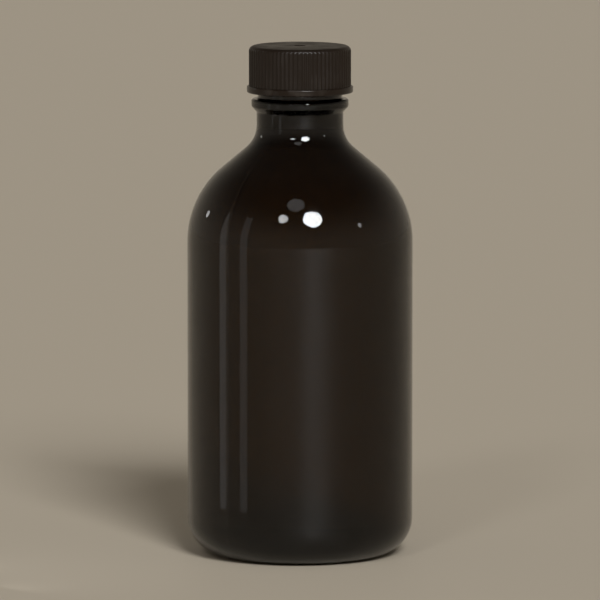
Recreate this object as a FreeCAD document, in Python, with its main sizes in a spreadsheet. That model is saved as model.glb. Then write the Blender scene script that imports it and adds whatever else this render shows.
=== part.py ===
"""Round reagent bottle of about 500 ml: amber glass, a ribbed screw cap and a two-layer liner.

Millimetres, +Z up, origin at the middle of the base. The bottle stands on a flat ring round a hollow base.
Every height is counted up from what lies below it, so a changed size carries the rest along.
"""

import FreeCAD, Part
import math
import os

import Sketcher

# Driving dimensions in millimetres and degrees, each with what it measures.
SIZES = {
    "body_diameter": (77.0, "outside of the straight side"),
    "side_height": (107.5, "top of the straight side above the base"),
    "heel_radius": (12.5, "outer round between side and base"),
    "bearing_width": (2.2, "flat ring that the bottle stands on"),
    "push_up": (3.0, "rise of the hollow in the base"),
    "base_thickness": (4.0, "glass under the edge of the floor"),
    "floor_round": (10.0, "inner round between side and floor"),
    "side_wall": (2.4, "glass in the side and shoulder"),
    "shoulder_radius": (33.0, "outer round of the shoulder"),
    "flank_angle": (50.0, "lean of the shoulder's straight flank from upright"),
    "neck_sweep": (10.0, "hollow round from shoulder to neck, outside"),
    "bore_sweep": (12.0, "hollow round from shoulder to bore, inside"),
    "neck_length": (4.4, "straight neck below the ring"),
    "neck_swell": (0.4, "neck's radius beyond the threaded part"),
    "ring_taper": (2.0, "height of the ring's sloping underside"),
    "ring_band": (2.6, "height of the ring at its full width"),
    "ring_reach": (1.8, "ring's radius beyond the neck"),
    "ring_round": (0.9, "rounds on the ring's edges"),
    "ring_blend": (0.8, "hollow rounds where the ring meets the glass"),
    "finish_diameter": (28.8, "threaded part between the ridges"),
    "neck_wall": (3.5, "glass between threaded part and bore"),
    "lip_round": (1.3, "outer round of the rim"),
    "mouth_round": (1.0, "inner round of the rim"),
    "thread_pitch": (4.2, "rise of the thread in one turn"),
    "thread_height": (1.1, "thread ridge beyond the threaded part"),
    "thread_land": (1.5, "plain glass above the thread"),
    "thread_start": (20.0, "bearing of the lower end of both threads, from +X"),
    "run_out_radius": (8.0, "round with which a thread ridge runs out at its ends"),
    "run_out_step": (0.05, "height of a thread ridge where it stops"),
    "ridge_share": (0.3, "round of the glass ridge for each millimetre of pitch"),
    "cap_ridge_share": (0.2, "round of the cap's ridge for each millimetre of pitch"),
    "thread_overlap": (0.65, "how far the cap's ridge reaches behind the glass ridge"),
    "flank_gap": (0.2, "space between the two ridges when the cap is tight"),
    "crest_gap": (0.3, "space between glass ridge and cap wall"),
    "ring_gap": (2.1, "space between ring and tightened cap"),
    "cap_height": (15.9, "whole height of the cap"),
    "cap_wall": (1.6, "cap's wall outside its thread"),
    "cap_top_wall": (1.7, "cap's top"),
    "cap_edge": (1.8, "round of the cap's top edge"),
    "cap_lead_in": (0.9, "plain wall below the cap's thread"),
    "cap_mouth_bevel": (0.5, "bevel inside the cap's lower edge"),
    "flange_height": (2.3, "smooth bead along the cap's lower edge"),
    "flange_reach": (0.7, "bead's radius beyond the ribs"),
    "flange_round": (0.5, "rounds on the bead"),
    "rib_spacing": (1.48, "from one grip rib to the next"),
    "flute_round": (0.65, "radius of the flute between two ribs"),
    "flute_depth": (0.3, "depth of the flute"),
    "backing_thickness": (1.6, "foam disc of the liner"),
    "facing_thickness": (0.3, "film on the foam disc"),
    "liner_clearance": (0.2, "space between liner and cap wall"),
    "cut_margin": (1.0, "how far a cutting shape runs past the surface it opens"),
}

# Radii and heights that follow from the driving dimensions, in the order in which they are worked out.
LEVELS = {
    "body_r": "Sizes.body_diameter / 2",
    "inner_r": "body_r - Sizes.side_wall",
    "heel_r": "body_r - Sizes.heel_radius",
    "bearing_r": "heel_r - Sizes.bearing_width",
    "dome_radius": "(bearing_r ^ 2 + Sizes.push_up ^ 2) / (2 * Sizes.push_up)",
    "floor_r": "inner_r - Sizes.floor_round",
    "floor_top": "Sizes.base_thickness + Sizes.push_up",
    "floor_radius": "(floor_r ^ 2 + Sizes.push_up ^ 2) / (2 * Sizes.push_up)",
    "floor_side": "Sizes.base_thickness + Sizes.floor_round",
    "finish_r": "Sizes.finish_diameter / 2",
    "neck_r": "finish_r + Sizes.neck_swell",
    "ring_r": "neck_r + Sizes.ring_reach",
    "bore_r": "finish_r - Sizes.neck_wall",
    "shoulder_mid": "body_r - Sizes.shoulder_radius",
    "flank_r": "shoulder_mid + Sizes.shoulder_radius * cos(Sizes.flank_angle)",
    "flank_foot": "Sizes.side_height + Sizes.shoulder_radius * sin(Sizes.flank_angle)",
    "sweep_r": "neck_r + Sizes.neck_sweep * (1 - cos(Sizes.flank_angle))",
    "sweep_foot": "flank_foot + (flank_r - sweep_r) / tan(Sizes.flank_angle)",
    "neck_foot": "sweep_foot + Sizes.neck_sweep * sin(Sizes.flank_angle)",
    "inner_shoulder": "Sizes.shoulder_radius - Sizes.side_wall",
    "inner_flank_r": "shoulder_mid + inner_shoulder * cos(Sizes.flank_angle)",
    "inner_flank_foot": "Sizes.side_height + inner_shoulder * sin(Sizes.flank_angle)",
    "bore_sweep_r": "bore_r + Sizes.bore_sweep * (1 - cos(Sizes.flank_angle))",
    "bore_sweep_foot": "inner_flank_foot + (inner_flank_r - bore_sweep_r) / tan(Sizes.flank_angle)",
    "bore_foot": "bore_sweep_foot + Sizes.bore_sweep * sin(Sizes.flank_angle)",
    "ring_foot": "neck_foot + Sizes.neck_length",
    "ring_edge": "ring_foot + Sizes.ring_taper",
    "ring_top": "ring_edge + Sizes.ring_band",
    "cap_foot": "ring_top + Sizes.ring_gap",
    "liner_thickness": "Sizes.backing_thickness + Sizes.facing_thickness",
    "cap_depth": "Sizes.cap_height - Sizes.cap_top_wall",
    "rim": "cap_foot + cap_depth - liner_thickness",
    "crest_r": "finish_r + Sizes.thread_height",
    "cap_bore_r": "crest_r + Sizes.crest_gap",
    "cap_r": "cap_bore_r + Sizes.cap_wall",
    "flange_r": "cap_r + Sizes.flange_reach",
    "liner_r": "cap_bore_r - Sizes.liner_clearance",
    "ridge_round": "Sizes.thread_pitch * Sizes.ridge_share",
    "ridge_r": "crest_r - ridge_round",
    "cap_ridge_round": "Sizes.thread_pitch * Sizes.cap_ridge_share",
    "cap_ridge_r": "crest_r - Sizes.thread_overlap + cap_ridge_round",
    "ridge_reach": "ridge_round + cap_ridge_round + Sizes.flank_gap",
    "ridge_drop": "sqrt(ridge_reach ^ 2 - (cap_ridge_r - ridge_r) ^ 2)",
    "cap_ridge_foot": "Sizes.cap_lead_in + cap_ridge_round",
    "cap_ridge_rise": "cap_depth - liner_thickness - Sizes.cap_lead_in - cap_ridge_foot - cap_ridge_round",
    "ridge_foot": "cap_foot + cap_ridge_foot + ridge_drop",
    "ridge_rise": "rim - Sizes.thread_land - ridge_round - ridge_foot",
    "flute_r": "cap_r + Sizes.flute_round - Sizes.flute_depth",
    "rib_count": "floor(2 * pi * cap_r / Sizes.rib_spacing)",
}

doc = FreeCAD.newDocument("ReagentBottle")


def fill_sheets():
    """Writes the driving dimensions to one sheet, and what follows from them to another."""
    sizes = doc.addObject("Spreadsheet::Sheet", "Sizes")
    for row, (name, (value, meaning)) in enumerate(SIZES.items(), start=1):
        sizes.set(f"A{row}", meaning)
        sizes.set(f"B{row}", str(value))
        sizes.setAlias(f"B{row}", name)
    levels = doc.addObject("Spreadsheet::Sheet", "Levels")
    for row, (name, formula) in enumerate(LEVELS.items(), start=1):
        levels.set(f"B{row}", f"={formula}")
        levels.setAlias(f"B{row}", name)
        doc.recompute()


def value_of(formula):
    """Returns the number that a formula of sheet values comes to now."""
    return float(doc.Levels.evalExpression(formula))


def new_body(label, foot="0"):
    """Adds an empty piece whose own origin stands at the height given by a formula."""
    body = doc.addObject("PartDesign::Body", label)
    body.Label = label
    body.setExpression("Placement.Base.z", foot)
    return body


def new_sketch(body, name, plane, height=None):
    """Adds a sketch on one of the piece's own origin planes, raised where a formula gives a height."""
    sketch = body.newObject("Sketcher::SketchObject", name)
    support = [feature for feature in body.Origin.OriginFeatures if feature.Role == plane]
    sketch.AttachmentSupport = (support[0], [""])
    sketch.MapMode = "FlatFace"
    if height is not None:
        sketch.setExpression("AttachmentOffset.Base.z", height)
    return sketch


def bind(sketch, kind, place, formula):
    """Adds a dimension to a sketch and ties it to a formula of sheet values."""
    index = sketch.addConstraint(Sketcher.Constraint(kind, *place, value_of(formula)))
    sketch.setExpression(f"Constraints[{index}]", formula)


def pin_point(sketch, edge, end, across, up):
    """Fixes one end of an edge at the place given by two formulas, where 0 means on the axis itself."""
    for kind, axis, formula in (("DistanceX", -2, across), ("DistanceY", -1, up)):
        if formula == "0":
            sketch.addConstraint(Sketcher.Constraint("PointOnObject", edge, end, axis))
        else:
            bind(sketch, kind, (-1, 1, edge, end), formula)


def arc_between(start, end, radius, turn):
    """Returns the arc, of under half a circle, that turns left (1) or right (-1) from start to end."""
    chord = end - start
    middle = (start + end) * 0.5
    side = FreeCAD.Vector(-chord.y, chord.x, 0).normalize() * turn
    centre = middle + side * math.sqrt(radius ** 2 - (chord.Length / 2) ** 2)
    top = centre + (middle - centre).normalize() * radius
    return Part.Arc(start, top, end)


def draw_outline(sketch, corners):
    """Draws a closed outline. Each corner is two formulas for its place, and a third where an arc leaves it.

    The third is a pair: the formula of the arc's radius, and 1 or -1 for the way in which it turns.
    """
    points = [FreeCAD.Vector(value_of(corner[0]), value_of(corner[1]), 0) for corner in corners]
    edges = []
    for index, corner in enumerate(corners):
        start = points[index]
        end = points[(index + 1) % len(points)]
        if len(corner) == 2:
            edge = sketch.addGeometry(Part.LineSegment(start, end))
            edges.append((edge, 1, 2))
            continue
        formula, turn = corner[2]
        edge = sketch.addGeometry(arc_between(start, end, value_of(formula), turn))
        # A sketch keeps every arc turning left, so one that turns right has its two ends swapped.
        edges.append((edge, 1, 2) if turn > 0 else (edge, 2, 1))
    for index, (edge, _, last) in enumerate(edges):
        following, first, _ = edges[(index + 1) % len(edges)]
        sketch.addConstraint(Sketcher.Constraint("Coincident", edge, last, following, first))
    for (edge, first, _), corner in zip(edges, corners):
        pin_point(sketch, edge, first, corner[0], corner[1])
        if len(corner) == 3:
            bind(sketch, "Radius", (edge,), corner[2][0])


def draw_circle(sketch, across, up, radius):
    """Draws a circle with its middle and its radius given by formulas."""
    middle = FreeCAD.Vector(value_of(across), value_of(up), 0)
    circle = Part.Circle(middle, FreeCAD.Vector(0, 0, 1), value_of(radius))
    edge = sketch.addGeometry(circle)
    # A sketch counts the points of an edge as 1 start, 2 end and 3 centre.
    pin_point(sketch, edge, 3, across, up)
    bind(sketch, "Radius", (edge,), radius)


def turn_outline(body, kind, name, corners):
    """Turns an outline about the upright axis, to add material (Revolution) or to take it away (Groove)."""
    sketch = new_sketch(body, f"{name}_outline", "XZ_Plane")
    draw_outline(sketch, corners)
    before = body.Shape.Volume if kind == "Groove" else None
    turned = body.newObject(f"PartDesign::{kind}", name)
    turned.Profile = sketch
    turned.ReferenceAxis = (sketch, ["V_Axis"])
    turned.Angle = 360
    doc.recompute()
    if before is not None and turned.Shape.Volume >= before:
        raise RuntimeError(f"{name} took no material away")
    return turned


def round_edge(shape, across, up):
    """Returns the name of the level round edge with the radius and height given by two formulas."""
    radius = value_of(across)
    height = value_of(up)
    tolerance = 1e-4
    for number, edge in enumerate(shape.Edges, start=1):
        if edge.Degenerated or not isinstance(edge.Curve, Part.Circle):
            continue
        if abs(edge.Curve.Radius - radius) < tolerance and abs(edge.Curve.Center.z - height) < tolerance:
            return f"Edge{number}"
    raise RuntimeError(f"no round edge at radius {across} and height {up}")


def ease_edges(body, base, kind, name, size, places):
    """Rounds (Fillet) or bevels (Chamfer) the round edges at the places given."""
    eased = body.newObject(f"PartDesign::{kind}", name)
    eased.Base = (base, [round_edge(base.Shape, *place) for place in places])
    eased.setExpression("Radius" if kind == "Fillet" else "Size", size)
    doc.recompute()
    return eased


def wind_ridge(name, foot, rise, across, thickness, wall, side):
    """Winds a round thread ridge up a wall, right-handed, and lets it run out into the wall at both ends.

    The wall is given by its radius. The ridge stands outside it where side is 1, and inside where side is -1.
    """
    path = doc.addObject("Part::Helix", f"{name}_path")
    path.setExpression("Pitch", "Sizes.thread_pitch")
    path.setExpression("Height", rise)
    path.setExpression("Radius", across)
    section = doc.addObject("Part::Circle", f"{name}_section")
    section.Placement.Rotation = FreeCAD.Rotation(FreeCAD.Vector(1, 0, 0), 90)
    section.setExpression("Radius", thickness)
    section.setExpression("Placement.Base.x", across)
    doc.recompute()
    ridge = doc.addObject("Part::Sweep", f"{name}_wound")
    ridge.Sections = [section]
    ridge.Spine = (path, [f"Edge{number}" for number in range(1, len(path.Shape.Edges) + 1)])
    ridge.Solid = True
    ridge.Frenet = True
    for end, climb in (("start", "0"), ("stop", rise)):
        scoop = run_out(f"{name}_{end}", climb, thickness, wall, side)
        eased = doc.addObject("Part::Cut", f"{name}_eased_{end}")
        eased.Base = ridge
        eased.Tool = scoop
        ridge = eased
    ridge.setExpression("Placement.Base.z", foot)
    ridge.setExpression("Placement.Rotation.Angle", "Sizes.thread_start")
    doc.recompute()
    return ridge


def run_out(name, climb, thickness, wall, side):
    """Adds the round scoop that thins a ridge to nothing where it has climbed by the height given."""
    away = f"({wall} + {side} * (Sizes.run_out_step + Sizes.run_out_radius))"
    turned = f"360 * ({climb}) / Sizes.thread_pitch"
    half_height = f"({thickness} + Sizes.cut_margin)"
    scoop = doc.addObject("Part::Cylinder", name)
    scoop.setExpression("Radius", "Sizes.run_out_radius")
    scoop.setExpression("Height", f"2 * {half_height}")
    scoop.setExpression("Placement.Base.x", f"{away} * cos({turned})")
    scoop.setExpression("Placement.Base.y", f"{away} * sin({turned})")
    scoop.setExpression("Placement.Base.z", f"{climb} - {half_height}")
    return scoop


def join(label, shapes):
    """Joins shapes into one solid."""
    joined = doc.addObject("Part::MultiFuse", label)
    joined.Label = label
    joined.Shapes = shapes
    doc.recompute()
    return joined


def make_bottle():
    """Moulded glass: outside turned first, then the hollow, the soft edges and the thread."""
    body = new_body("glass_blank")
    outside = [
        ("0", "Sizes.push_up", ("Levels.dome_radius", -1)),
        ("Levels.bearing_r", "0"),
        ("Levels.heel_r", "0", ("Sizes.heel_radius", 1)),
        ("Levels.body_r", "Sizes.heel_radius"),
        ("Levels.body_r", "Sizes.side_height", ("Sizes.shoulder_radius", 1)),
        ("Levels.flank_r", "Levels.flank_foot"),
        ("Levels.sweep_r", "Levels.sweep_foot", ("Sizes.neck_sweep", -1)),
        ("Levels.neck_r", "Levels.neck_foot"),
        ("Levels.neck_r", "Levels.ring_foot"),
        ("Levels.ring_r", "Levels.ring_edge"),
        ("Levels.ring_r", "Levels.ring_top"),
        ("Levels.finish_r", "Levels.ring_top"),
        ("Levels.finish_r", "Levels.rim"),
        ("0", "Levels.rim"),
    ]
    over_rim = "Levels.rim + Sizes.cut_margin"
    hollow = [
        ("0", "Levels.floor_top", ("Levels.floor_radius", -1)),
        ("Levels.floor_r", "Sizes.base_thickness", ("Sizes.floor_round", 1)),
        ("Levels.inner_r", "Levels.floor_side"),
        ("Levels.inner_r", "Sizes.side_height", ("Levels.inner_shoulder", 1)),
        ("Levels.inner_flank_r", "Levels.inner_flank_foot"),
        ("Levels.bore_sweep_r", "Levels.bore_sweep_foot", ("Sizes.bore_sweep", -1)),
        ("Levels.bore_r", "Levels.bore_foot"),
        ("Levels.bore_r", over_rim),
        ("0", over_rim),
    ]
    turn_outline(body, "Revolution", "outside", outside)
    glass = turn_outline(body, "Groove", "hollow", hollow)
    ring_edges = [("Levels.ring_r", "Levels.ring_edge"), ("Levels.ring_r", "Levels.ring_top")]
    ring_roots = [("Levels.neck_r", "Levels.ring_foot"), ("Levels.finish_r", "Levels.ring_top")]
    lip = [("Levels.finish_r", "Levels.rim")]
    mouth = [("Levels.bore_r", "Levels.rim")]
    glass = ease_edges(body, glass, "Fillet", "ring_edges", "Sizes.ring_round", ring_edges)
    glass = ease_edges(body, glass, "Fillet", "ring_roots", "Sizes.ring_blend", ring_roots)
    glass = ease_edges(body, glass, "Fillet", "lip", "Sizes.lip_round", lip)
    ease_edges(body, glass, "Fillet", "mouth", "Sizes.mouth_round", mouth)
    place = ("Levels.ridge_foot", "Levels.ridge_rise", "Levels.ridge_r", "Levels.ridge_round")
    ridge = wind_ridge("neck_thread", *place, wall="Levels.finish_r", side=1)
    return join("glass_bottle", [body, ridge])


def make_cap():
    """Moulded cap: a cup with a bead round its mouth, a thread inside and grip ribs outside."""
    body = new_body("cap_blank", "Levels.cap_foot")
    cup = [
        ("Levels.cap_bore_r", "0"),
        ("Levels.flange_r", "0"),
        ("Levels.flange_r", "Sizes.flange_height"),
        ("Levels.cap_r", "Sizes.flange_height"),
        ("Levels.cap_r", "Sizes.cap_height"),
        ("0", "Sizes.cap_height"),
        ("0", "Levels.cap_depth"),
        ("Levels.cap_bore_r", "Levels.cap_depth"),
    ]
    shell = turn_outline(body, "Revolution", "cup", cup)
    top_edge = [("Levels.cap_r", "Sizes.cap_height")]
    bead_edges = [("Levels.flange_r", "0"), ("Levels.flange_r", "Sizes.flange_height")]
    mouth = [("Levels.cap_bore_r", "0")]
    shell = ease_edges(body, shell, "Fillet", "top_edge", "Sizes.cap_edge", top_edge)
    shell = ease_edges(body, shell, "Fillet", "bead_edges", "Sizes.flange_round", bead_edges)
    ease_edges(body, shell, "Chamfer", "mouth", "Sizes.cap_mouth_bevel", mouth)
    cut_flutes(body)
    foot = "Levels.cap_foot + Levels.cap_ridge_foot"
    place = (foot, "Levels.cap_ridge_rise", "Levels.cap_ridge_r", "Levels.cap_ridge_round")
    ridge = wind_ridge("cap_thread", *place, wall="Levels.cap_bore_r", side=-1)
    return join("screw_cap", [body, ridge])


def cut_flutes(body):
    """Cuts one flute up the cap's wall, which runs out over the round top edge, and repeats it all round."""
    before = body.Shape.Volume
    sketch = new_sketch(body, "flute_section", "XY_Plane", "Sizes.flange_height")
    draw_circle(sketch, "Levels.flute_r", "0", "Sizes.flute_round")
    flute = body.newObject("PartDesign::Pocket", "flute")
    flute.Profile = sketch
    flute.Type = "Length"
    flute.Reversed = True
    flute.setExpression("Length", "Sizes.cap_height - Sizes.flange_height + Sizes.cut_margin")
    doc.recompute()
    if flute.Shape.Volume >= before:
        raise RuntimeError("the flute took no material away")
    flutes = body.newObject("PartDesign::PolarPattern", "flutes")
    flutes.Originals = [flute]
    flutes.Axis = (sketch, ["N_Axis"])
    flutes.Angle = 360
    flutes.setExpression("Occurrences", "Levels.rib_count")
    body.Tip = flutes
    doc.recompute()


def make_disc(label, foot, thickness):
    """Flat round disc of the liner, cut to turn freely inside the cap."""
    body = new_body(label, foot)
    sketch = new_sketch(body, f"{label}_outline", "XY_Plane")
    draw_circle(sketch, "0", "0", "Levels.liner_r")
    disc = body.newObject("PartDesign::Pad", f"{label}_disc")
    disc.Profile = sketch
    disc.setExpression("Length", thickness)
    doc.recompute()
    return body


def check_model(pieces):
    """Stops if any object of the document failed, or if a piece is not one valid solid."""
    for item in doc.Objects:
        if "Invalid" in item.State or "Error" in item.State:
            raise RuntimeError(f"{item.Label} failed: {item.State}")
    for piece in pieces:
        if piece.Shape.isNull() or not piece.Shape.isValid() or len(piece.Shape.Solids) != 1:
            raise RuntimeError(f"{piece.Label} is not one valid solid")


def write_pieces(pieces):
    """Writes each piece to a file of its own name."""
    os.makedirs("parts", exist_ok=True)
    for piece in pieces:
        piece.Shape.exportStep(f"parts/{piece.Label}.step")
        box = piece.Shape.BoundBox
        print(f"{piece.Label}: z {box.ZMin:.2f} to {box.ZMax:.2f}, volume {piece.Shape.Volume:.1f} mm3")


fill_sheets()
pieces = [
    make_bottle(),
    make_cap(),
    make_disc("liner_backing", "Levels.rim + Sizes.facing_thickness", "Sizes.backing_thickness"),
    make_disc("liner_facing", "Levels.rim", "Sizes.facing_thickness"),
]
doc.recompute()
check_model(pieces)
write_pieces(pieces)
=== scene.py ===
"""Looks of a round reagent bottle: near-black amber glass, a ribbed screw cap and its two-layer liner.

Metres, +Z up, origin at the middle of the base. The front of the bottle is at -Y.
"""

import math

import bmesh
import bpy
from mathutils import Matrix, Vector


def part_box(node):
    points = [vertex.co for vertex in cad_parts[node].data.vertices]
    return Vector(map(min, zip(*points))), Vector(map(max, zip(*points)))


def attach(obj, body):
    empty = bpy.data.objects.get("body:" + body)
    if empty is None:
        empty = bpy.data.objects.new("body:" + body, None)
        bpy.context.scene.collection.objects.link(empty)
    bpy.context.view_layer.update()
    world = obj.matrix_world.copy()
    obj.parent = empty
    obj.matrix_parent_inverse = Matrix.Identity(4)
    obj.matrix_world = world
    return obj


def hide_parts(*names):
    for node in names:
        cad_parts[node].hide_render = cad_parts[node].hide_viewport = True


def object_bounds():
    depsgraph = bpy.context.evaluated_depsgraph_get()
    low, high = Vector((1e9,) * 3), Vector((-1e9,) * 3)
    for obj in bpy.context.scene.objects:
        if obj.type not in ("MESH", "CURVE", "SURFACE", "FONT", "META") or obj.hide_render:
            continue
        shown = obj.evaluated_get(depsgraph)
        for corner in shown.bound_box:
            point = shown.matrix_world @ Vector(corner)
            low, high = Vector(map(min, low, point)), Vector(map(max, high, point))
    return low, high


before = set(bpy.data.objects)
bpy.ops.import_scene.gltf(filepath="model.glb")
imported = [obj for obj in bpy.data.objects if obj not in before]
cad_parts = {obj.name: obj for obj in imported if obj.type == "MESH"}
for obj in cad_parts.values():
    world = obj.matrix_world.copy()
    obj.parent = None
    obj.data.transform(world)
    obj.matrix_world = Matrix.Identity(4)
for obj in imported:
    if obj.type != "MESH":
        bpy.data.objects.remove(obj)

bl_info = {
    "name": "Reagent Bottle",
    "version": (1, 0, 0),
    "blender": (4, 5, 0),
    "location": "View3D > Sidebar > Bottle",
    "description": "Models and dresses a round amber reagent bottle with a ribbed screw cap",
    "category": "Add Mesh",
}

# The boxes of the frame, from which the main sizes come.
CAD_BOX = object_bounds()
GLASS_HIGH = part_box("glass_bottle")[1]
CAP_LOW, CAP_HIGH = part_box("screw_cap")
FOAM_LOW, FOAM_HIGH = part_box("liner_backing")
FILM_LOW, FILM_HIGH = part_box("liner_facing")

# Points closer together than this are one point.
SAME_PLACE = 1e-6
# The longest step along a round of an outline, in metres and in radians.
ROUND_STEP = 0.0012
ROUND_ANGLE = math.radians(10)
# How sharply two faces of a piece may meet and still be shaded as one surface.
GLASS_CREASE = math.radians(50)
CAP_CREASE = math.radians(35)
LINER_CREASE = math.radians(40)
# The power that gives a thread ridge its flanks.
RIDGE_FALL = 1.5
# A face looks down when its normal's height is below this, and is a disc's flat when it has more corners.
FACING_DOWN = -0.99
QUAD_CORNERS = 4
# How strongly glass and plastic bend and mirror light, and how matt the floor is.
GLASS_IOR = 1.46
CAP_IOR = 1.5
CAP_SPECULAR = 0.28
FLOOR_ROUGHNESS = 0.6
FLOOR_SIDES = 96
# Where the cap's finishes fade, in shares of the bead's height, of the top's round and of a flute's depth.
BEAD_FADE = 1.15
TOP_FADE = (0.2, 0.02)
CREST_FADE = 0.2
# How much of the worn colour the rubbed crests and the dust show.
RUB_STRENGTH = 0.6
DUST_STRENGTH = 0.3
# A mix node's inputs for the share and the two colours, and its output for the colour.
MIX_COLOUR_INPUTS = (0, 6, 7)
MIX_COLOUR_OUTPUT = 2
# Where the lamps and strips stand, and the share of the way up at which the surroundings are dim.
LAMP_DISTANCE = 1.5
STRIP_DISTANCE = 0.125
STRIP_WIDTH = 0.016
STRIP_HEIGHT = 0.17
SKY_FADE = 0.8


def length(name, description, default):
    """Returns a property that holds a length in metres."""
    return bpy.props.FloatProperty(
        name=name, description=description, default=default, unit="LENGTH", precision=5
    )


def angle(name, description, degrees):
    """Returns a property that holds an angle, given in degrees."""
    return bpy.props.FloatProperty(
        name=name, description=description, default=math.radians(degrees), subtype="ANGLE"
    )


def colour(name, description, default):
    """Returns a property that holds a colour."""
    return bpy.props.FloatVectorProperty(
        name=name, description=description, default=default, size=3, min=0, max=1, subtype="COLOR"
    )


def number(name, description, default):
    """Returns a property that holds a number without a unit."""
    return bpy.props.FloatProperty(name=name, description=description, default=default, min=0)


def count(name, description, default):
    """Returns a property that holds a whole number."""
    return bpy.props.IntProperty(name=name, description=description, default=default, min=1)


class GlassSizes(bpy.types.PropertyGroup):
    """Sizes of the moulded glass."""

    body_radius: length("Body radius", "Outside of the straight side", GLASS_HIGH.x)
    side_top: length("Side top", "Top of the straight side above the base", 0.1075)
    heel_round: length("Heel round", "Round between side and base", 0.0125)
    bearing_width: length("Bearing width", "Ring that the bottle stands on", 0.0022)
    push_up: length("Push-up", "Rise of the hollow in the base", 0.003)
    base_thickness: length("Base thickness", "Glass under the edge of the floor", 0.004)
    floor_round: length("Floor round", "Inner round between side and floor", 0.01)
    side_wall: length("Side wall", "Glass in the side and shoulder", 0.0024)
    shoulder_round: length("Shoulder round", "Outer round of the shoulder", 0.033)
    flank_lean: angle("Flank lean", "Lean of the shoulder's straight flank from upright", 50)
    neck_sweep: length("Neck sweep", "Hollow round from shoulder to neck", 0.01)
    bore_sweep: length("Bore sweep", "Hollow round from shoulder to bore", 0.012)
    neck_radius: length("Neck radius", "Outside of the neck below the ring", 0.0148)
    ring_gap: length("Ring gap", "Space between ring and cap", 0.0021)
    ring_band: length("Ring band", "Height of the ring at its full width", 0.0026)
    ring_taper: length("Ring taper", "Height of the ring's sloping underside", 0.002)
    ring_radius: length("Ring radius", "Outside of the ring", 0.0166)
    ring_round: length("Ring round", "Rounds on the ring's edges", 0.0009)
    ring_blend: length("Ring blend", "Hollow rounds beside the ring", 0.0008)
    finish_radius: length("Finish radius", "Threaded part between the ridges", 0.0144)
    bore_radius: length("Bore radius", "Inside of the neck", 0.0109)
    lip_round: length("Lip round", "Outer round of the rim", 0.0013)
    mouth_round: length("Mouth round", "Inner round of the rim", 0.001)
    columns: count("Columns", "Steps in which the outline is turned", 192)
    thread_cuts: count("Thread cuts", "Level cuts in the wall that carries the thread", 64)
    seam_column: count("Seam column", "Step of the turn at which the first mould seam stands", 27)
    seam_width: length("Seam width", "Width of a mould seam", 0.0007)
    seam_height: length("Seam height", "How far a mould seam stands out", 0.00012)
    stipple_depth: length("Stipple depth", "Depth of the notches under the foot", 0.0004)


class CapSizes(bpy.types.PropertyGroup):
    """Sizes of the screw cap."""

    wall_radius: length("Wall radius", "Outside over the grip ribs", 0.0174)
    bore_radius: length("Bore radius", "Inside of the wall", 0.0158)
    bead_height: length("Bead height", "Smooth bead along the lower edge", 0.0023)
    bead_round: length("Bead round", "Rounds on the bead", 0.0005)
    top_wall: length("Top wall", "Thickness of the top", 0.0017)
    top_round: length("Top round", "Round of the top edge", 0.0018)
    mouth_bevel: length("Mouth bevel", "Bevel inside the lower edge", 0.0005)
    ribs: count("Ribs", "Grip ribs all round", 73)
    rib_columns: count("Rib columns", "Steps of the turn for each rib", 6)
    flute_round: length("Flute round", "Radius of the flute between two ribs", 0.00065)
    flute_depth: length("Flute depth", "Depth of the flute", 0.0003)
    thread_cuts: count("Thread cuts", "Level cuts in the wall that carries the thread", 60)
    gate_radius: length("Gate radius", "Dimple that the moulding gate leaves in the top", 0.0018)
    gate_depth: length("Gate depth", "Depth of that dimple", 0.00022)
    nib_radius: length("Nib radius", "Broken-off gate in the dimple", 0.0006)
    nib_height: length("Nib height", "Height of the nib above the dimple", 0.00014)


class ThreadSizes(bpy.types.PropertyGroup):
    """Sizes of the two threads that hold the cap on the neck."""

    pitch: length("Pitch", "Rise in one turn", 0.0042)
    start: angle("Start", "Bearing of the lower ends, from +X", 20)
    run_out: angle("Run-out", "Turn in which a ridge grows from nothing", 24)
    neck_foot: length("Neck foot", "Middle of the neck's ridge at its lower end", 0.16206)
    neck_rise: length("Neck rise", "Climb of the neck's ridge", 0.006015)
    neck_height: length("Neck height", "How far the neck's ridge stands out", 0.0011)
    neck_reach: length("Neck reach", "Half the width of the neck's ridge at its root", 0.0016)
    cap_foot: length("Cap foot", "Middle of the cap's ridge at its lower end", 0.16028)
    cap_rise: length("Cap rise", "Climb of the cap's ridge", 0.00882)
    cap_height: length("Cap height", "How far the cap's ridge stands in", 0.00095)
    cap_reach: length("Cap reach", "Half the width of the cap's ridge at its root", 0.0011)


class LinerSizes(bpy.types.PropertyGroup):
    """Sizes of the foam disc and the film on it."""

    radius: length("Radius", "Outside of both discs", FOAM_HIGH.x)
    foam_edge: length("Foam edge", "Soft round on the foam's edges", 0.0003)
    film_edge: length("Film edge", "Round on the film's edges", 0.00008)
    sides: count("Sides", "Sides of the discs", 128)
    print_outside: length("Print outside", "Outer edge of the mark that the rim leaves", 0.0133)
    print_inside: length("Print inside", "Inner edge of that mark", 0.0117)
    print_slope: length("Print slope", "Width of the sloping edges of that mark", 0.0003)
    print_depth: length("Print depth", "Depth of that mark", 0.00006)


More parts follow.
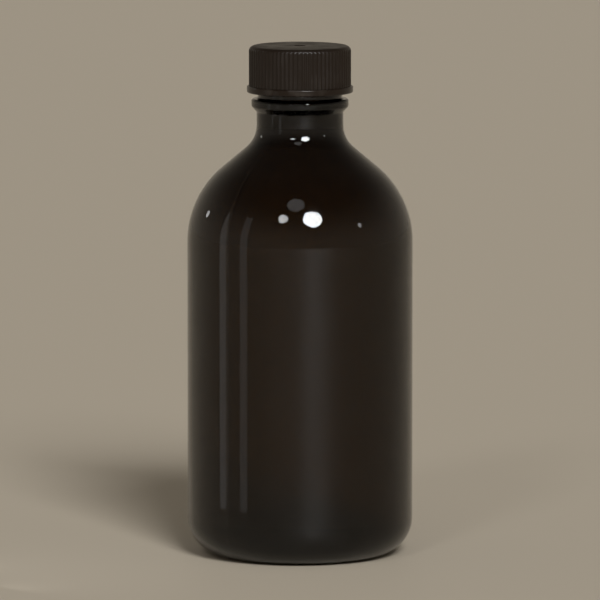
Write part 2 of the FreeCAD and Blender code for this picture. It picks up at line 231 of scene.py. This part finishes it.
class Finishes(bpy.types.PropertyGroup):
    """Colours of the pieces."""

    amber_pale: colour("Pale amber", "Tint of the glass where it is palest", (0.84, 0.70, 0.45))
    amber_deep: colour("Deep amber", "Tint of the glass in its darker cords", (0.70, 0.54, 0.29))
    amber_depth: colour("Amber depth", "Colour that the glass lets through", (0.56, 0.50, 0.30))
    amber_density: number("Amber density", "How fast the glass takes light away, for each metre", 1600)
    cap_black: colour("Cap black", "Plastic of the cap", (0.0120, 0.0072, 0.0044))
    cap_worn: colour("Cap worn", "Rubbed and dusty places of the cap", (0.050, 0.042, 0.035))
    foam_white: colour("Foam white", "Foam of the liner", (0.80, 0.78, 0.72))
    # Painted shade: the colour painted into the hollows of the foam's cells.
    foam_painted_shade: colour("Foam shade", "Foam inside its cells", (0.58, 0.55, 0.49))
    film_white: colour("Film white", "Film of the liner", (0.84, 0.84, 0.81))
    film_stain: colour("Film stain", "Faint stains on the film", (0.74, 0.70, 0.60))


class StageSetup(bpy.types.PropertyGroup):
    """Floor, light and camera."""

    floor_radius: length("Floor radius", "Radius of the floor", 6)
    floor_pale: colour("Floor", "Colour of the floor", (0.60, 0.53, 0.425))
    sky_low: colour("Low surroundings", "Light from near the horizon", (0.345, 0.304, 0.245))
    sky_high: colour("High surroundings", "Light from overhead", (0.07, 0.064, 0.055))
    camera_lift: angle("Camera lift", "Height of the camera above the horizon", 7)
    camera_distance: length("Camera distance", "From the bottle's middle to the camera", 2.6)
    picture_height: length("Picture height", "Height of the picture at the bottle", 0.205)


class BottleSettings(bpy.types.PropertyGroup):
    """Everything that can be set on the bottle."""

    glass: bpy.props.PointerProperty(type=GlassSizes)
    cap: bpy.props.PointerProperty(type=CapSizes)
    thread: bpy.props.PointerProperty(type=ThreadSizes)
    liner: bpy.props.PointerProperty(type=LinerSizes)
    finish: bpy.props.PointerProperty(type=Finishes)
    stage: bpy.props.PointerProperty(type=StageSetup)


# Modelling

def radius_of(place):
    """Returns a point's distance from the upright axis."""
    return math.hypot(place.x, place.y)


def bearing_of(place):
    """Returns a point's bearing about the upright axis, from +X, between 0 and a full turn."""
    return math.atan2(place.y, place.x) % math.tau


def rounded(corners):
    """Returns the points of an outline whose corners are (across, up, round).

    A round of 0 is a sharp corner, and a round of None is as large as the runs beside it allow.
    """
    places = [Vector((across, 0, up)) for across, up, _ in corners]
    points = []
    for index, (corner, (_, _, size)) in enumerate(zip(places, corners)):
        if size == 0:
            points.append(corner)
            continue
        back = places[index - 1] - corner
        ahead = places[index + 1] - corner
        half = back.angle(ahead) / 2
        reach = min(back.length, ahead.length) if size is None else size / math.tan(half)
        radius = reach * math.tan(half)
        inwards = (back.normalized() + ahead.normalized()).normalized()
        middle = corner + inwards * radius / math.sin(half)
        first = corner + back.normalized() * reach - middle
        last = corner + ahead.normalized() * reach - middle
        turn = math.pi - 2 * half
        steps = math.ceil(max(turn / ROUND_ANGLE, turn * radius / ROUND_STEP))
        for step in range(steps + 1):
            points.append(middle + first.slerp(last, step / steps).normalized() * radius)
    kept = points[:1]
    for point in points[1:]:
        if (point - kept[-1]).length > SAME_PLACE:
            kept.append(point)
    return kept


def dome_corner(radius, rise):
    """Returns how far out a shallow dome's corner lies, when its round runs from the axis to the radius."""
    return (radius ** 2 + rise ** 2) / (2 * radius)


def draw_outline(name, points):
    """Adds a piece and draws its outline by extruding one vertex along it. Stays in edit mode."""
    bpy.ops.object.select_all(action="DESELECT")
    bpy.ops.mesh.primitive_plane_add(size=1)
    piece = bpy.context.active_object
    piece.name = name
    piece.data.name = name
    bpy.ops.object.mode_set(mode="EDIT")
    bpy.ops.mesh.select_all(action="SELECT")
    bpy.ops.mesh.merge(type="CENTER")
    bpy.ops.transform.translate(value=points[0])
    for here, there in zip(points, points[1:]):
        bpy.ops.mesh.extrude_vertices_move(TRANSFORM_OT_translate={"value": there - here})
    return piece


def pick(piece, kind, wanted):
    """Selects the wanted vertices, edges or faces of a piece in edit mode, and nothing else."""
    bpy.ops.mesh.select_mode(type=kind)
    bpy.ops.mesh.select_all(action="DESELECT")
    mesh = bmesh.from_edit_mesh(piece.data)
    mesh.normal_update()
    parts = {"VERT": mesh.verts, "EDGE": mesh.edges, "FACE": mesh.faces}[kind]
    for part in parts:
        if wanted(part):
            part.select_set(True)
    mesh.select_flush_mode()
    bmesh.update_edit_mesh(piece.data)


def cut_wall(piece, radius, low, high, cuts):
    """Divides the outline's upright run at a radius, between two heights, with level cuts."""
    def on_run(vert):
        return abs(radius_of(vert.co) - radius) < SAME_PLACE and low <= vert.co.z <= high
    pick(piece, "EDGE", lambda edge: all(on_run(vert) for vert in edge.verts))
    bpy.ops.mesh.subdivide(number_cuts=cuts)


def turn_outline(columns):
    """Turns the outline once about the upright axis, and closes the joint and the poles."""
    bpy.ops.mesh.select_mode(type="VERT")
    bpy.ops.mesh.select_all(action="SELECT")
    bpy.ops.mesh.spin(steps=columns, angle=math.tau, center=(0, 0, 0), axis=(0, 0, 1))
    bpy.ops.mesh.select_all(action="SELECT")
    bpy.ops.mesh.remove_doubles(threshold=SAME_PLACE)
    bpy.ops.mesh.normals_make_consistent(inside=False)


def wind_thread(piece, thread, wall, foot, rise, height, reach):
    """Raises a right-handed thread ridge on a finely divided round wall.

    The ridge grows from nothing at both ends, and a negative height stands inwards. No operator winds a
    ridge that runs out, so the wall's points are moved.
    """
    turns = rise / thread.pitch
    run_out = thread.run_out / math.tau
    mesh = bmesh.from_edit_mesh(piece.data)
    for vert in mesh.verts:
        radius = radius_of(vert.co)
        if abs(radius - wall) > SAME_PLACE:
            continue
        first = (bearing_of(vert.co) - thread.start) % math.tau / math.tau
        for climbed in (first + turn for turn in range(math.ceil(turns))):
            aside = abs(vert.co.z - foot - climbed * thread.pitch) / reach
            inside = min(climbed, turns - climbed) / run_out
            if aside < 1 and inside > 0:
                grown = min(inside, 1)
                grown = grown * grown * (3 - 2 * grown)
                moved = 1 + height * grown * (1 - aside ** 2) ** RIDGE_FALL / radius
                vert.co.x *= moved
                vert.co.y *= moved
                break
    bmesh.update_edit_mesh(piece.data)


def finish_piece(piece, body, node, material, crease):
    """Shades a piece smooth between its creases, paints it, and puts it in the place of a node."""
    bpy.ops.object.mode_set(mode="OBJECT")
    bpy.ops.object.shade_smooth_by_angle(angle=crease)
    piece.data.materials.clear()
    piece.data.materials.append(material)
    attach(piece, body)
    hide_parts(node)


# Glass

def glass_outline(glass):
    """Returns the outline of the glass: from the middle of the base up the outside and down the inside."""
    slope = math.tan(glass.flank_lean)
    corner_rise = math.tan(glass.flank_lean / 2)
    bearing = glass.body_radius - glass.heel_round - glass.bearing_width
    shoulder = glass.side_top + glass.shoulder_round * corner_rise
    neck = shoulder + (glass.body_radius - glass.neck_radius) / slope
    ring_top = CAP_LOW.z - glass.ring_gap
    ring_edge = ring_top - glass.ring_band
    ring_foot = ring_edge - glass.ring_taper
    rim = GLASS_HIGH.z
    inside = glass.body_radius - glass.side_wall
    inside_round = glass.shoulder_round - glass.side_wall
    inside_shoulder = glass.side_top + inside_round * corner_rise
    throat = inside_shoulder + (inside - glass.bore_radius) / slope
    floor_edge = inside - glass.floor_round
    floor_top = glass.base_thickness + glass.push_up
    return rounded([
        (0, glass.push_up, 0),
        (dome_corner(bearing, glass.push_up), glass.push_up, None),
        (bearing, 0, 0),
        (bearing + glass.bearing_width / 2, 0, 0),
        (glass.body_radius, 0, glass.heel_round),
        (glass.body_radius, shoulder, glass.shoulder_round),
        (glass.neck_radius, neck, glass.neck_sweep),
        (glass.neck_radius, ring_foot, glass.ring_blend),
        (glass.ring_radius, ring_edge, glass.ring_round),
        (glass.ring_radius, ring_top, glass.ring_round),
        (glass.finish_radius, ring_top, glass.ring_blend),
        (glass.finish_radius, rim, glass.lip_round),
        (glass.bore_radius, rim, glass.mouth_round),
        (glass.bore_radius, throat, glass.bore_sweep),
        (inside, inside_shoulder, inside_round),
        (inside, glass.base_thickness, glass.floor_round),
        (floor_edge, glass.base_thickness, 0),
        (dome_corner(floor_edge, glass.push_up), floor_top, None),
        (0, floor_top, 0),
    ])


def stipple_foot(piece, glass):
    """Notches the ring that the bottle stands on, at every second column of the turn."""
    middle = glass.body_radius - glass.heel_round - glass.bearing_width / 2
    column = math.tau / glass.columns

    def in_notch(vert):
        on_ring = abs(radius_of(vert.co) - middle) < SAME_PLACE and vert.co.z < SAME_PLACE
        return on_ring and round(bearing_of(vert.co) / column) % 2 == 0
    pick(piece, "VERT", in_notch)
    bpy.ops.transform.translate(value=(0, 0, glass.stipple_depth))


def raise_seams(piece, glass):
    """Raises the two mould seams: a column of edges becomes a strip, and its middle line stands out."""
    heel = glass.heel_round / 2
    neck = CAP_LOW.z - glass.ring_gap - glass.ring_band - glass.ring_taper - glass.ring_blend
    first = glass.seam_column * math.tau / glass.columns
    for bearing in (first, first + math.pi):
        outwards = Vector((math.cos(bearing), math.sin(bearing), 0))
        across = Vector((-outwards.y, outwards.x, 0))

        def on_seam(vert):
            in_line = abs(vert.co.dot(across)) < SAME_PLACE and vert.co.dot(outwards) > 0
            return in_line and vert.normal.dot(outwards) > 0 and heel < vert.co.z < neck
        pick(piece, "EDGE", lambda edge: all(on_seam(vert) for vert in edge.verts))
        bpy.ops.mesh.bevel(offset=glass.seam_width / 2, segments=2, affect="EDGES")
        pick(piece, "VERT", on_seam)
        bpy.ops.transform.shrink_fatten(value=glass.seam_height)


class BOTTLE_OT_glass(bpy.types.Operator):
    """Model the glass: turned walls, thread, mould seams and stippled foot"""

    bl_idname = "bottle.glass"
    bl_label = "Glass"

    def execute(self, context):
        settings = context.scene.bottle
        glass = settings.glass
        thread = settings.thread
        piece = draw_outline("bottle_glass", glass_outline(glass))
        ring_top = CAP_LOW.z - glass.ring_gap
        cut_wall(piece, glass.finish_radius, low=ring_top, high=GLASS_HIGH.z, cuts=glass.thread_cuts)
        turn_outline(glass.columns)
        wind_thread(
            piece, thread, wall=glass.finish_radius, foot=thread.neck_foot, rise=thread.neck_rise,
            height=thread.neck_height, reach=thread.neck_reach,
        )
        stipple_foot(piece, glass)
        raise_seams(piece, glass)
        finish_piece(
            piece, body="bottle", node="glass_bottle",
            material=amber_glass(settings.finish), crease=GLASS_CREASE,
        )
        return {"FINISHED"}


# Cap

def cap_outline(cap):
    """Returns the outline of the cap from the middle of its top, down the outside and up the inside."""
    top = CAP_HIGH.z
    foot = CAP_LOW.z
    bead = CAP_HIGH.x
    dimple = top - cap.gate_depth
    nib = dimple + cap.nib_height
    soft = cap.gate_depth / 3
    ceiling = top - cap.top_wall
    return rounded([
        (0, nib, 0),
        (cap.nib_radius, nib, soft),
        (cap.nib_radius + soft, dimple, soft),
        (cap.gate_radius, dimple, soft),
        (cap.gate_radius + cap.gate_depth, top, soft),
        (cap.wall_radius, top, cap.top_round),
        (cap.wall_radius, foot + cap.bead_height, 0),
        (bead, foot + cap.bead_height, cap.bead_round),
        (bead, foot, cap.bead_round),
        (cap.bore_radius + cap.mouth_bevel, foot, 0),
        (cap.bore_radius, foot + cap.mouth_bevel, 0),
        (cap.bore_radius, ceiling, 0),
        (0, ceiling, 0),
    ])


def press_flutes(piece, cap):
    """Presses the flutes between the ribs into the wall, ring by ring, up to the round of the top."""
    ledge = CAP_LOW.z + cap.bead_height - SAME_PLACE
    column = math.tau / (cap.ribs * cap.rib_columns)
    step = cap.wall_radius * column
    mesh = bmesh.from_edit_mesh(piece.data)
    rings = {round(radius_of(vert.co), 6) for vert in mesh.verts if vert.co.z > ledge}
    for offset in range(cap.rib_columns // 2):
        aside = offset * step
        depth = cap.flute_depth - cap.flute_round + math.sqrt(cap.flute_round ** 2 - aside ** 2)
        pressed = cap.wall_radius - depth
        columns = {offset, (cap.rib_columns - offset) % cap.rib_columns}
        for ring in rings:
            if not pressed < ring < cap.wall_radius + SAME_PLACE:
                continue

            def in_flute(vert):
                in_ring = abs(radius_of(vert.co) - ring) < SAME_PLACE and vert.co.z > ledge
                return in_ring and round(bearing_of(vert.co) / column) % cap.rib_columns in columns
            pick(piece, "VERT", in_flute)
            inwards = pressed / ring
            bpy.ops.transform.resize(value=(inwards, inwards, 1), center_override=(0, 0, 0))


class BOTTLE_OT_cap(bpy.types.Operator):
    """Model the screw cap: turned cup, grip ribs, bead, gate mark and inner thread"""

    bl_idname = "bottle.cap"
    bl_label = "Cap"

    def execute(self, context):
        settings = context.scene.bottle
        cap = settings.cap
        thread = settings.thread
        piece = draw_outline("cap_shell", cap_outline(cap))
        cut_wall(piece, cap.bore_radius, low=CAP_LOW.z, high=CAP_HIGH.z, cuts=cap.thread_cuts)
        turn_outline(cap.ribs * cap.rib_columns)
        press_flutes(piece, cap)
        wind_thread(
            piece, thread, wall=cap.bore_radius, foot=thread.cap_foot, rise=thread.cap_rise,
            height=-thread.cap_height, reach=thread.cap_reach,
        )
        finish_piece(
            piece, body="cap", node="screw_cap",
            material=cap_plastic(settings.finish, cap), crease=CAP_CREASE,
        )
        return {"FINISHED"}


# Liner

def add_disc(name, liner, low, high, edge_round):
    """Adds a disc between two heights with rounded edges. Stays in edit mode."""
    bpy.ops.object.select_all(action="DESELECT")
    bpy.ops.mesh.primitive_cylinder_add(vertices=liner.sides, radius=liner.radius, depth=high - low)
    piece = bpy.context.active_object
    piece.name = name
    piece.data.name = name
    bpy.ops.object.mode_set(mode="EDIT")
    bpy.ops.mesh.select_all(action="SELECT")
    bpy.ops.transform.translate(value=(0, 0, (low + high) / 2))
    pick(piece, "EDGE", lambda edge: abs(edge.verts[0].co.z - edge.verts[1].co.z) < SAME_PLACE)
    bpy.ops.mesh.bevel(offset=edge_round, segments=3, affect="EDGES")
    return piece


def press_rim_mark(piece, liner):
    """Presses the mark of the bottle's rim into the underside of the film, as a shallow ring."""
    pick(piece, "FACE", lambda face: face.normal.z < FACING_DOWN and len(face.verts) > QUAD_CORNERS)
    edge = liner.radius - liner.film_edge
    for radius in (
        liner.print_outside,
        liner.print_outside - liner.print_slope,
        liner.print_inside + liner.print_slope,
        liner.print_inside,
    ):
        bpy.ops.mesh.inset(thickness=(edge - radius) * math.cos(math.pi / liner.sides))
        edge = radius
    inner = liner.print_inside + liner.print_slope / 2
    outer = liner.print_outside - liner.print_slope / 2

    def in_mark(vert):
        return inner < radius_of(vert.co) < outer and vert.normal.z < 0
    pick(piece, "VERT", in_mark)
    bpy.ops.transform.translate(value=(0, 0, liner.print_depth))


class BOTTLE_OT_liner(bpy.types.Operator):
    """Model the liner: a foam disc and the film on it, with the mark of the rim"""

    bl_idname = "bottle.liner"
    bl_label = "Liner"

    def execute(self, context):
        settings = context.scene.bottle
        liner = settings.liner
        foam = add_disc("liner_foam", liner, FOAM_LOW.z, FOAM_HIGH.z, liner.foam_edge)
        finish_piece(
            foam, body="liner", node="liner_backing",
            material=liner_foam(settings.finish), crease=LINER_CREASE,
        )
        film = add_disc("liner_film", liner, FILM_LOW.z, FILM_HIGH.z, liner.film_edge)
        press_rim_mark(film, liner)
        finish_piece(
            film, body="liner", node="liner_facing",
            material=liner_film(settings.finish), crease=LINER_CREASE,
        )
        return {"FINISHED"}


# Finishes

class Paint:
    """A material under work: its principled shader, and short ways to add nodes that feed it."""

    def __init__(self, name):
        self.material = bpy.data.materials.new(name)
        self.material.use_nodes = True
        self.nodes = self.material.node_tree.nodes
        self.links = self.material.node_tree.links
        self.shader = self.nodes["Principled BSDF"]
        self.place = self.nodes.new("ShaderNodeTexCoord").outputs["Object"]

    def feed(self, node, values):
        """Sets a node's inputs, each to a plain value or to another node's output."""
        for name, value in values.items():
            if isinstance(value, bpy.types.NodeSocket):
                self.links.new(value, node.inputs[name])
            else:
                node.inputs[name].default_value = value

    def dress(self, **values):
        """Sets inputs of the shader, with underscores for the blanks in their names."""
        self.feed(self.shader, {name.replace("_", " "): value for name, value in values.items()})

    def noise(self, scale, detail=2.0, stretch=(1, 1, 1)):
        """Returns a cloudy pattern with so many spots to the metre, from 0 to 1."""
        mapping = self.nodes.new("ShaderNodeMapping")
        self.feed(mapping, {"Vector": self.place, "Scale": stretch})
        node = self.nodes.new("ShaderNodeTexNoise")
        self.feed(node, {"Vector": mapping.outputs["Vector"], "Scale": scale, "Detail": detail})
        return node.outputs["Fac"]

    def cells(self, scale):
        """Returns the distance to the nearest of so many points to the metre, in shares of their gap."""
        node = self.nodes.new("ShaderNodeTexVoronoi")
        self.feed(node, {"Vector": self.place, "Scale": scale})
        return node.outputs["Distance"]

    def height(self):
        """Returns the height above the base."""
        node = self.nodes.new("ShaderNodeSeparateXYZ")
        self.feed(node, {"Vector": self.place})
        return node.outputs["Z"]

    def radius(self):
        """Returns the distance from the upright axis."""
        flat = self.nodes.new("ShaderNodeVectorMath")
        flat.operation = "MULTIPLY"
        self.feed(flat, {0: self.place, 1: (1, 1, 0)})
        node = self.nodes.new("ShaderNodeVectorMath")
        node.operation = "LENGTH"
        self.feed(node, {0: flat.outputs["Vector"]})
        return node.outputs["Value"]

    def span(self, value, low, high, first=0.0, last=1.0):
        """Returns a value that goes smoothly from first to last as another goes from low to high."""
        node = self.nodes.new("ShaderNodeMapRange")
        node.interpolation_type = "SMOOTHSTEP"
        self.feed(node, {"Value": value, "From Min": low, "From Max": high})
        self.feed(node, {"To Min": first, "To Max": last})
        return node.outputs["Result"]

    def combine(self, operation, *values):
        """Returns what an operation such as ADD or MULTIPLY makes of values."""
        node = self.nodes.new("ShaderNodeMath")
        node.operation = operation
        self.feed(node, dict(enumerate(values)))
        return node.outputs["Value"]

    def mix(self, share, first, last):
        """Returns a colour between two, by a share from 0 to 1."""
        node = self.nodes.new("ShaderNodeMix")
        node.data_type = "RGBA"
        factor, first_colour, last_colour = (node.inputs[index] for index in MIX_COLOUR_INPUTS)
        self.links.new(share, factor)
        first_colour.default_value = (*first, 1)
        last_colour.default_value = (*last, 1)
        return node.outputs[MIX_COLOUR_OUTPUT]

    def bump(self, height, distance, below=None):
        """Returns a normal roughened by a height pattern so many metres deep, over another normal."""
        node = self.nodes.new("ShaderNodeBump")
        values = {"Height": height, "Distance": distance}
        if below is not None:
            values["Normal"] = below
        self.feed(node, values)
        return node.outputs["Normal"]


def amber_glass(finish):
    """Returns near-black brown glass: waves and cords from the mould, and smears that dull the shine."""
    paint = Paint("amber_glass")
    waves = paint.noise(scale=42, detail=1.5, stretch=(1, 1, 0.35))
    cords = paint.noise(scale=60, detail=3, stretch=(1, 1, 0.2))
    smears = paint.noise(scale=110, detail=5)
    pits = paint.noise(scale=900, detail=2)
    wavy = paint.bump(waves, distance=0.00008)
    pitted = paint.bump(pits, distance=0.000003, below=wavy)
    paint.dress(
        Base_Color=paint.mix(cords, finish.amber_pale, finish.amber_deep),
        Roughness=paint.span(smears, low=0.42, high=0.72, first=0.015, last=0.07),
        Normal=pitted,
        IOR=GLASS_IOR,
        Transmission_Weight=1.0,
    )
    depth = paint.nodes.new("ShaderNodeVolumeAbsorption")
    paint.feed(depth, {"Color": (*finish.amber_depth, 1), "Density": finish.amber_density})
    paint.links.new(depth.outputs["Volume"], paint.nodes["Material Output"].inputs["Volume"])
    return paint.material


def cap_plastic(finish, cap):
    """Returns satin black plastic: fine grain, rubbed rib crests, a dusty top and a glossier bead."""
    paint = Paint("black_cap")
    radius = paint.radius()
    height = paint.height()
    blotches = paint.noise(scale=160, detail=4)
    grain = paint.noise(scale=2400, detail=2)
    specks = paint.noise(scale=1500, detail=3)
    bead_top = CAP_LOW.z + cap.bead_height
    on_wall = paint.span(height, low=bead_top, high=CAP_LOW.z + BEAD_FADE * cap.bead_height)
    edge_low, edge_high = (CAP_HIGH.z - fade * cap.top_round for fade in TOP_FADE)
    on_top = paint.span(height, low=edge_low, high=edge_high)
    crest_foot = cap.wall_radius - CREST_FADE * cap.flute_depth
    crests = paint.span(radius, low=crest_foot, high=cap.wall_radius)
    rubbed = paint.combine("MULTIPLY", crests, paint.span(blotches, low=0.45, high=0.75))
    dusty = paint.combine("MULTIPLY", on_top, paint.span(specks, low=0.5, high=0.8))
    faintly_rubbed = paint.combine("MULTIPLY", rubbed, RUB_STRENGTH)
    faintly_dusty = paint.combine("MULTIPLY", dusty, DUST_STRENGTH)
    worn = paint.combine("MAXIMUM", faintly_rubbed, faintly_dusty)
    satin = paint.span(blotches, low=0.3, high=0.7, first=0.34, last=0.46)
    bead_shine = paint.span(on_wall, low=0, high=1, first=0.6, last=1.0)
    paint.dress(
        Base_Color=paint.mix(worn, finish.cap_black, finish.cap_worn),
        Roughness=paint.combine("MULTIPLY", satin, bead_shine),
        Normal=paint.bump(grain, distance=0.00002),
        IOR=CAP_IOR,
        Specular_IOR_Level=CAP_SPECULAR,
    )
    return paint.material


def liner_foam(finish):
    """Returns off-white foam with fine closed cells, and painted shade in the hollows of the cells."""
    paint = Paint("foam")
    cells = paint.cells(scale=2600)
    clouds = paint.noise(scale=300, detail=3)
    # Painted shade: the hollows of the cells, where the bump dips, are darkened in the colour.
    hollows = paint.span(cells, low=0.2, high=0.7, first=1.0, last=0.0)
    shade = paint.combine("MULTIPLY", hollows, clouds)
    paint.dress(
        Base_Color=paint.mix(shade, finish.foam_white, finish.foam_painted_shade),
        Roughness=paint.span(clouds, low=0.3, high=0.7, first=0.8, last=0.95),
        Normal=paint.bump(cells, distance=0.00008),
    )
    return paint.material


def liner_film(finish):
    """Returns smooth white film with a faint ripple and stains."""
    paint = Paint("film")
    ripple = paint.noise(scale=220, detail=3)
    stains = paint.noise(scale=90, detail=5)
    stained = paint.span(stains, low=0.5, high=0.8)
    paint.dress(
        Base_Color=paint.mix(stained, finish.film_white, finish.film_stain),
        Roughness=paint.span(ripple, low=0.3, high=0.7, first=0.2, last=0.34),
        Normal=paint.bump(ripple, distance=0.00003),
    )
    return paint.material


def pale_floor(stage):
    """Returns the floor's plain matt paint."""
    paint = Paint("pale_floor")
    paint.dress(Base_Color=(*stage.floor_pale, 1), Roughness=FLOOR_ROUGHNESS)
    return paint.material


# Stage

def from_bottle(bearing, lift, distance):
    """Returns a place around the bottle's middle and the turn of what looks at the bottle from there.

    The bearing counts from the front towards the right, and the lift from level.
    """
    away = Vector((
        math.sin(bearing) * math.cos(lift),
        -math.cos(bearing) * math.cos(lift),
        math.sin(lift),
    ))
    return (CAD_BOX[0] + CAD_BOX[1]) / 2 + away * distance, away.to_track_quat("Z", "Y").to_euler()


def add_lamp(name, bearing, lift, width, strength):
    """Adds a round soft light: where it stands and how wide it looks from the bottle, in degrees."""
    place, facing = from_bottle(math.radians(bearing), math.radians(lift), LAMP_DISTANCE)
    bpy.ops.object.light_add(type="SUN", location=place, rotation=facing)
    lamp = bpy.context.active_object
    lamp.name = name
    lamp.visible_transmission = False
    lamp.data.angle = math.radians(width)
    lamp.data.energy = strength


def add_strip(name, bearing, radiance):
    """Adds a dim upright strip of light beside the bottle, which shows as a streak in the glass."""
    place, facing = from_bottle(math.radians(bearing), 0, STRIP_DISTANCE)
    bpy.ops.object.light_add(type="AREA", location=place, rotation=facing)
    strip = bpy.context.active_object
    strip.name = name
    strip.visible_transmission = False
    strip.data.shape = "RECTANGLE"
    strip.data.size = STRIP_WIDTH
    strip.data.size_y = STRIP_HEIGHT
    strip.data.energy = radiance * math.pi * STRIP_WIDTH * STRIP_HEIGHT


def add_floor(stage):
    """Adds the floor that the bottle stands on."""
    bpy.ops.mesh.primitive_circle_add(vertices=FLOOR_SIDES, radius=stage.floor_radius, fill_type="NGON")
    floor = bpy.context.active_object
    floor.name = "floor"
    floor.data.materials.append(pale_floor(stage))


def light_surroundings(stage):
    """Lights everything softly from all round, palest at the horizon and dim overhead."""
    world = bpy.data.worlds.new("surroundings")
    world.use_nodes = True
    nodes = world.node_tree.nodes
    links = world.node_tree.links
    direction = nodes.new("ShaderNodeSeparateXYZ")
    links.new(nodes.new("ShaderNodeTexCoord").outputs["Generated"], direction.inputs["Vector"])
    fade = nodes.new("ShaderNodeMapRange")
    fade.interpolation_type = "SMOOTHSTEP"
    fade.inputs["From Max"].default_value = SKY_FADE
    links.new(direction.outputs["Z"], fade.inputs["Value"])
    sky = nodes.new("ShaderNodeMix")
    sky.data_type = "RGBA"
    share_of_high, low, high = (sky.inputs[index] for index in MIX_COLOUR_INPUTS)
    links.new(fade.outputs["Result"], share_of_high)
    low.default_value = (*stage.sky_low, 1)
    high.default_value = (*stage.sky_high, 1)
    links.new(sky.outputs[MIX_COLOUR_OUTPUT], nodes["Background"].inputs["Color"])
    bpy.context.scene.world = world


def add_camera(stage):
    """Adds the camera in front of the bottle, far away, with a lens as long as the picture needs."""
    place, facing = from_bottle(0, stage.camera_lift, stage.camera_distance)
    bpy.ops.object.camera_add(location=place, rotation=facing)
    camera = bpy.context.active_object
    camera.data.lens = camera.data.sensor_width * stage.camera_distance / stage.picture_height
    bpy.context.scene.camera = camera


class BOTTLE_OT_stage(bpy.types.Operator):
    """Set up the floor, the light and the camera"""

    bl_idname = "bottle.stage"
    bl_label = "Stage"

    def execute(self, context):
        stage = context.scene.bottle.stage
        bpy.ops.object.select_all(action="DESELECT")
        add_floor(stage)
        light_surroundings(stage)
        add_lamp("key_lamp", bearing=15, lift=34, width=18.5, strength=2.25)
        add_lamp("second_lamp", bearing=-20, lift=34, width=9.5, strength=0.25)
        add_lamp("soft_lamp", bearing=-6, lift=52, width=16, strength=0.06)
        add_lamp("left_lamp", bearing=-121, lift=14, width=4.5, strength=0.02)
        add_lamp("right_lamp", bearing=68, lift=20, width=4.5, strength=0.02)
        add_strip("left_strip", bearing=-74, radiance=0.4)
        add_strip("inner_strip", bearing=-51, radiance=0.3)
        add_camera(stage)
        context.scene.view_settings.view_transform = "Standard"
        return {"FINISHED"}


class BOTTLE_PT_sidebar(bpy.types.Panel):
    """Lists the steps that make the bottle, and what can be set before them"""

    bl_label = "Reagent Bottle"
    bl_space_type = "VIEW_3D"
    bl_region_type = "UI"
    bl_category = "Bottle"

    def draw(self, context):
        settings = context.scene.bottle
        for operator in OPERATORS:
            self.layout.operator(operator.bl_idname)
        for group_name in BottleSettings.__annotations__:
            group = getattr(settings, group_name)
            box = self.layout.box()
            for name in group.__annotations__:
                box.prop(group, name)


OPERATORS = (BOTTLE_OT_glass, BOTTLE_OT_cap, BOTTLE_OT_liner, BOTTLE_OT_stage)
GROUPS = (GlassSizes, CapSizes, ThreadSizes, LinerSizes, Finishes, StageSetup, BottleSettings)
CLASSES = (*GROUPS, *OPERATORS, BOTTLE_PT_sidebar)


def register():
    """Registers the classes and gives the scene its settings."""
    for part in CLASSES:
        bpy.utils.register_class(part)
    bpy.types.Scene.bottle = bpy.props.PointerProperty(type=BottleSettings)


def unregister():
    """Takes the settings and the classes away again."""
    del bpy.types.Scene.bottle
    for part in reversed(CLASSES):
        bpy.utils.unregister_class(part)


def main():
    register()
    bpy.ops.bottle.glass()
    bpy.ops.bottle.cap()
    bpy.ops.bottle.liner()
    bpy.ops.bottle.stage()


if __name__ == "__main__":
    main()
